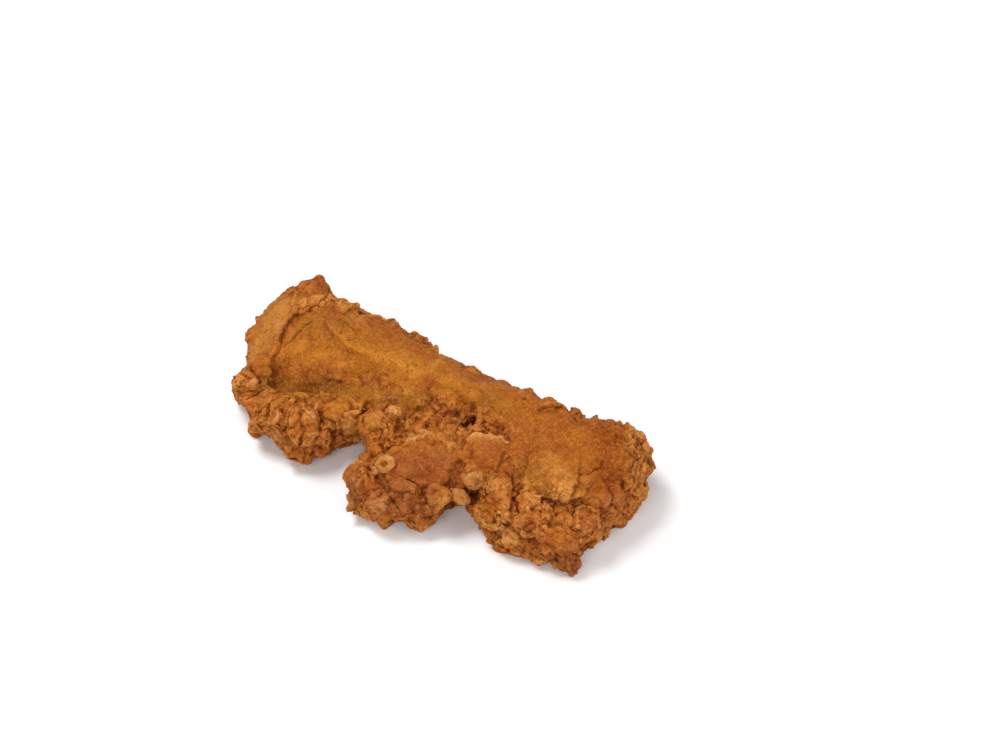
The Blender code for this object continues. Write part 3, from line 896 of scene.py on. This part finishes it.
# The next two: a dark red-brown, partly the batter's and partly painted shade in pits, and painted shade
# deep in the pits.
PLUM_AND_SHADE = (0.18, 0.042, 0.013, 1)
PIT_SHADE = (0.13, 0.013, 0.004, 1)
OLIVE = (0.27, 0.11, 0.007, 1)
TAN = (0.44, 0.146, 0.022, 1)
CREAM_AND_GLINT = (0.62, 0.29, 0.1, 1)
PALE = (0.58, 0.25, 0.07, 1)
ROSE = (0.33, 0.094, 0.028, 1)
# What a tone is multiplied by: painted shade in creases, pores and cracks, and a painted highlight on
# raised tops and edges.
SHADED = (0.48, 0.28, 0.15, 1)
LIT = (1.35, 1.5, 1.9, 1)


def facets(tree, spot, scale):
    """Flakes the size of a cell: the height of their tilted faces, the cracks between, their tints."""
    cell = node(tree, "ShaderNodeTexVoronoi", {"Vector": spot, "Scale": scale}).outputs
    edge = node(tree, "ShaderNodeTexVoronoi", {"Vector": spot, "Scale": scale},
                feature="DISTANCE_TO_EDGE").outputs["Distance"]
    within = node(tree, "ShaderNodeVectorMath", {0: spot, 1: cell["Position"]},
                  operation="SUBTRACT").outputs[0]
    lean = node(tree, "ShaderNodeVectorMath", {0: cell["Color"], 1: (0.5, 0.5, 0.5)},
                operation="SUBTRACT").outputs[0]
    tilt = node(tree, "ShaderNodeVectorMath", {0: within, 1: lean},
                operation="DOT_PRODUCT").outputs["Value"]
    tint = node(tree, "ShaderNodeSeparateColor", {"Color": cell["Color"]}).outputs[0]
    return tilt, ranged(tree, edge, 0.07, 0), tint


def total(tree, a, b):
    return node(tree, "ShaderNodeMath", {0: a, 1: b}, operation="ADD").outputs[0]


# The grain that all the fried flour shares: thin cracked flakes where it is craggy, with painted shade
# in their cracks, mottled tones, dark pores partly of darker flour and partly painted shade, pale
# flour specks that also stand in as painted glints, and oily glints. Spot and Height are in mm.
grain_group = bpy.data.node_groups.new("fried_grain", "ShaderNodeTree")
for socket, kind in {"Spot": "Vector", "Tone": "Color", "Craggy": "Float",
                     "Grained": "Float"}.items():
    grain_group.interface.new_socket(socket, in_out="INPUT", socket_type="NodeSocket" + kind)
for socket, kind in {"Colour": "Color", "Height": "Float", "Glint": "Float"}.items():
    grain_group.interface.new_socket(socket, in_out="OUTPUT", socket_type="NodeSocket" + kind)
given = grain_group.nodes.new("NodeGroupInput").outputs
mottle = cloudy(grain_group, given["Spot"], 0.8, 3, 0.65)
grain = cloudy(grain_group, given["Spot"], 1.9, 3, 0.75)
warp = node(grain_group, "ShaderNodeTexNoise", {"Vector": given["Spot"], "Scale": 0.7, "Detail": 2})
warped = node(grain_group, "ShaderNodeVectorMath", {0: warp.outputs["Color"], "Scale": 1.4},
              operation="SCALE").outputs[0]
warped = node(grain_group, "ShaderNodeVectorMath", {0: given["Spot"], 1: warped},
              operation="ADD").outputs[0]
broken = ranged(grain_group, cloudy(grain_group, given["Spot"], 0.45, 2), 0.5, 0.6)
flaky = ranged(grain_group, given["Craggy"], 0, 1, 0.12, 1)
share = product(grain_group, ranged(grain_group, given["Craggy"], 0, 1, 0.8, 0.55), given["Grained"])
tilt, crack, tint = facets(grain_group, warped, 0.36)
small_tilt, _, small_tint = facets(grain_group, warped, 0.9)
crack = product(grain_group, crack, broken)
cells = node(grain_group, "ShaderNodeTexVoronoi", {"Vector": given["Spot"], "Scale": 1.1})
fleck_and_glint = product(grain_group, ranged(grain_group, cells.outputs["Distance"], 0.24, 0.14),
                ranged(grain_group, mottle, 0.5, 0.58))
tone = given["Tone"]
# Random tints of the flakes and the mottle, and pale flour specks that are also painted glints.
for mask, extent, colour in ((ranged(grain_group, tint, 0.4, 0, 0, 0.3), flaky, TOFFEE),
                             (ranged(grain_group, tint, 0.6, 1, 0, 0.3), flaky, TAN),
                             (ranged(grain_group, small_tint, 0.3, 0, 0, 0.5), flaky, TOFFEE),
                             (ranged(grain_group, small_tint, 0.7, 1, 0, 0.6), flaky, STRAW),
                             (ranged(grain_group, mottle, 0.54, 0.72, 0, 0.6), share, TAN),
                             (ranged(grain_group, grain, 0.56, 0.78), share, CREAM_AND_GLINT),
                             (product(grain_group, fleck_and_glint, 0.2), share, CREAM_AND_GLINT)):
    tone = mixed(grain_group, product(grain_group, mask, extent), tone, colour)
# Darker where the mottle is low, and painted shade in the grain's pores and in the cracks between
# flakes.
for mask, extent in ((ranged(grain_group, mottle, 0.48, 0.3, 0, 0.6), share),
                     (ranged(grain_group, grain, 0.47, 0.3, 0, 0.9), share),
                     (product(grain_group, crack, 0.5), flaky)):
    tone = mixed(grain_group, product(grain_group, mask, extent), tone, SHADED, "MULTIPLY")
height = total(grain_group, product(grain_group, tilt, 0.4), product(grain_group, small_tilt, 0.7))
height = total(grain_group, height, product(grain_group, crack, -0.12))
height = total(grain_group, product(grain_group, height, flaky),
               product(grain_group, grain, ranged(grain_group, given["Craggy"], 0, 1, 0.24, 0.09)))
node(grain_group, "NodeGroupOutput", {"Colour": tone, "Height": height,
                                      "Glint": ranged(grain_group, grain, 0.58, 0.7)})


def fried(name, tone_of):
    """A fried flour finish: tone_of gives the tone under the shared grain, and how craggy and how
    grained it is."""
    material = bpy.data.materials.new(name)
    material.use_nodes = True
    tree = material.node_tree
    shader = tree.nodes["Principled BSDF"]
    place = node(tree, "ShaderNodeTexCoord").outputs["Object"]
    spot = node(tree, "ShaderNodeVectorMath", {0: place, "Scale": 1 / MM}, operation="SCALE").outputs[0]
    tone, craggy, grained = tone_of(tree, spot)
    surface = node(tree, "ShaderNodeGroup", {"Spot": spot, "Tone": tone, "Craggy": craggy,
                                             "Grained": grained}, node_tree=grain_group).outputs
    bump = node(tree, "ShaderNodeBump", {"Height": surface["Height"], "Distance": 1 * MM})
    tree.links.new(surface["Colour"], shader.inputs["Base Color"])
    tree.links.new(ranged(tree, surface["Glint"], 0, 1, 0.65, 0.4), shader.inputs["Roughness"])
    tree.links.new(ranged(tree, surface["Glint"], 0, 1, 0.06, 0.42), shader.inputs["Specular IOR Level"])
    tree.links.new(bump.outputs["Normal"], shader.inputs["Normal"])
    shader.inputs["Subsurface Weight"].default_value = 0.12
    shader.inputs["Subsurface Radius"].default_value = (1, 0.35, 0.12)
    shader.inputs["Subsurface Scale"].default_value = 0.4 * MM
    return material


def crust_tone(tree, spot):
    craggy = measured(tree, "craggy")
    broad, patchy, blotch = (cloudy(tree, spot, 0.1), cloudy(tree, spot, 0.32, 4),
                             cloudy(tree, spot, 0.6, 2))
    tone = mixed(tree, ranged(tree, broad, 0.42, 0.62), HONEY, TOFFEE)
    tone = mixed(tree, ranged(tree, patchy, 0.42, 0.64), tone, HONEY)
    tone = mixed(tree, ranged(tree, patchy, 0.44, 0.3, 0, 0.8), tone, RUST)
    tinted = ranged(tree, craggy, 0, 1, 0.15, 0.8)
    for mask, colour in ((ranged(tree, measured(tree, "block"), 0.36, 0.28), TOFFEE),
                         (ranged(tree, measured(tree, "block"), 0.6, 0.68), TAN),
                         (ranged(tree, measured(tree, "clot"), 0.24, 0.14, 0, 0.8), RUST),
                         (ranged(tree, measured(tree, "clot"), 0.7, 0.8, 0, 0.8), STRAW),
                         (ranged(tree, blotch, 0.5, 0.34, 0, 0.6), RUST),
                         (ranged(tree, blotch, 0.54, 0.68, 0, 0.6), STRAW)):
        tone = mixed(tree, product(tree, mask, tinted), tone, colour)
    for zone, colour in (("toffee", TOFFEE), ("gold", GOLD), ("straw", STRAW), ("rose", ROSE),
                         ("pale", PALE), ("rust", RUST), ("plum_and_shade", PLUM_AND_SHADE), ("pit_shade", PIT_SHADE),
                         ("olive", OLIVE)):
        tone = mixed(tree, product(tree, measured(tree, zone), 0.84), tone, colour)
    # Painted shade in the wide hollows, dips, creases and seams between lumps, and painted highlights on
    # raised tops and edges, fuller where the crust is craggy.
    relief = ranged(tree, craggy, 0, 1, 0.4, 1)
    for mask, shade in ((ranged(tree, measured(tree, "hollow"), 0.54, 0.85, 0, 0.5), SHADED),
                        (ranged(tree, measured(tree, "dip"), 0.55, 0.9, 0, 0.6), SHADED),
                        (ranged(tree, measured(tree, "crevice"), 0.55, 0.78), SHADED),
                        (ranged(tree, measured(tree, "clot_seam"), 0.3, 1, 0, 0.5), SHADED),
                        (ranged(tree, measured(tree, "block_seam"), 0.3, 1, 0, 0.5), SHADED),
                        (ranged(tree, measured(tree, "dip"), 0.46, 0.2, 0, 0.3), LIT),
                        (ranged(tree, measured(tree, "crevice"), 0.46, 0.26), LIT)):
        tone = mixed(tree, product(tree, mask, relief), tone, shade, "MULTIPLY")
    return tone, craggy, ranged(tree, measured(tree, "pit_shade"), 0, 0.6, 1, 0.1)


crust.data.materials.clear()
crust.data.materials.append(fried("fried_crust", crust_tone))
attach(crust, "root")
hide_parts("tender")

# Flakes
# Slips of batter that fried loose and came to rest on the crust, paler than it: a curled cup on
# the lobe, an almond in the notch, an upright fang below the ledge, and small splinters.

# Name: pixel, (length, width, thickness) in mm, turn on the photo in degrees, depth of its cup.
FLAKES = {
    "cup": ((386, 464), (5.4, 4.4, 2.8), 25, 0.5),
    "cup_tail": ((376, 471), (3.4, 2.2, 1.6), 50, 0),
    "almond": ((460, 496), (6.4, 3.7, 2), -28, 0.15),
    "fang": ((507, 535), (3, 5.4, 1.7), -6, 0.2),
    "upper_splinter": ((425, 433), (3.8, 1.6, 1.5), -6, 0),
    "lower_splinter": ((415, 439), (5.2, 1.4, 1.3), 14, 0),
    "flap_splinter": ((311, 415), (3, 1.3, 1.3), -35, 0),
    "knob_nub": ((253, 383), (2.6, 2.2, 1.7), 50, 0.2),
    "brow_nub": ((473, 479), (4, 3.2, 2), 30, 0.2),
    "brow_nub_low": ((480, 485), (1.8, 1.5, 1.4), 0, 0),
}
FLAKE_FACING = 1.2
FLAKE_RISE = 0.15  # of its thickness
FLAKE_TINTS = (1, 0.9, 0.8)
slips = []
for number, (pixel, sizes, turn, cup) in enumerate(FLAKES.values()):
    sizes = [size * MM for size in sizes]
    place, normal, frame_here = frame_at(pixel, sizes, turn, FLAKE_FACING)
    bpy.ops.mesh.primitive_ico_sphere_add(subdivisions=5, radius=1)
    flake = bpy.context.object
    shape = points_of(flake)
    sunk = np.exp(-(np.linalg.norm(shape[:, :2], axis=1) / 0.5) ** 2) * (shape[:, 2] > 0)
    shape[:, 2] -= cup * sunk
    move_points(flake, shape)
    flake.data.transform(frame_here.to_4x4())
    flake.data.transform(Matrix.Translation(place + normal * FLAKE_RISE * sizes[2]))
    move_points(flake, wobbled(points_of(flake), 1.6 * MM, 0.5 * MM))
    paint(flake, "tint", FLAKE_TINTS[number % 3] - 1.6 * cup * sunk)
    slips.append(flake)
join_into(slips[0], slips[1:])
flakes = slips[0]
flakes.name = "flakes"
displace(flakes, "CLOUDS", 1.1 * MM, 0.4 * MM, noise_depth=3)
bpy.ops.object.shade_smooth()


def crumb_tone(tree, spot):
    tint = measured(tree, "tint")
    tone = mixed(tree, ranged(tree, cloudy(tree, spot, 0.1), 0.42, 0.62), HONEY, TOFFEE)
    patches = ranged(tree, cloudy(tree, spot, 0.5), 0.36, 0.5, 0.6)
    pale = product(tree, ranged(tree, tint, 0.4, 0.8), patches)
    tone = mixed(tree, pale, tone, PALE)
    return mixed(tree, ranged(tree, tint, 0.3, 0, 0, 0.7), tone, RUST), 0.6, 0.8


crumb_finish = fried("fried_crumbs", crumb_tone)
flakes.data.materials.append(crumb_finish)
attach(flakes, "root")

# Crumbs
# Crumbs and grains of dry flour that stuck to the wet batter and fried with it. Each is a little
# angular stone of its own, more than half sunk in the crust, and none lies close to the table.
CRUMB_FLOOR = 1.2 * MM
CRUMB_SUNK = 0.15


def crumb_shape(number, subdivisions, roughness):
    bpy.ops.mesh.primitive_ico_sphere_add(subdivisions=subdivisions, radius=1)
    crumb = bpy.context.object
    bpy.ops.object.mode_set(mode="EDIT")
    bpy.ops.transform.vertex_random(offset=roughness, seed=number)
    bpy.ops.object.mode_set(mode="OBJECT")
    shape = points_of(crumb)
    triangles = np.empty(len(crumb.data.loops), int)
    crumb.data.loops.foreach_get("vertex_index", triangles)
    bpy.data.objects.remove(crumb)
    return shape, triangles.reshape(-1, 3)


def sprinkle(name, cages, count, smallest, largest, smooth_share, seed):
    """Scatters copies of the cages over the crust, the fewer the smoother it is."""
    rng = np.random.default_rng(seed)

    def density(points):
        return (smooth_share + roughness_at(points) ** 2) * (points[:, 2] > CRUMB_FLOOR)

    places, normals = scatter(crust, count, density, rng)
    size = smallest + (largest - smallest) * rng.random(count) ** 2
    sizes = size[:, None] * rng.uniform(0.6, 1.4, (count, 3)) / 2
    centres = places - normals * (CRUMB_SUNK * sizes[:, 2])[:, None]
    shapes = np.array([points for points, _ in cages])
    numbers = rng.integers(0, len(cages), count)
    obj = joined_copies(name, shapes, cages[0][1], numbers,
                        random_frames(normals, sizes, rng, 0.5), centres)
    paint(obj, "tint", np.repeat(0.6 * rng.random(count), shapes.shape[1]))
    obj.data.materials.append(crumb_finish)
    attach(obj, "root")


stones = [crumb_shape(number, subdivisions=2, roughness=0.3) for number in range(6)]
chips = [crumb_shape(number + 9, subdivisions=1, roughness=0.3) for number in range(6)]
sprinkle("crumbs", stones, 700, smallest=0.5 * MM, largest=1.2 * MM, smooth_share=0.03, seed=21)
sprinkle("grains", chips, 4500, smallest=0.25 * MM, largest=0.5 * MM, smooth_share=0.3, seed=22)
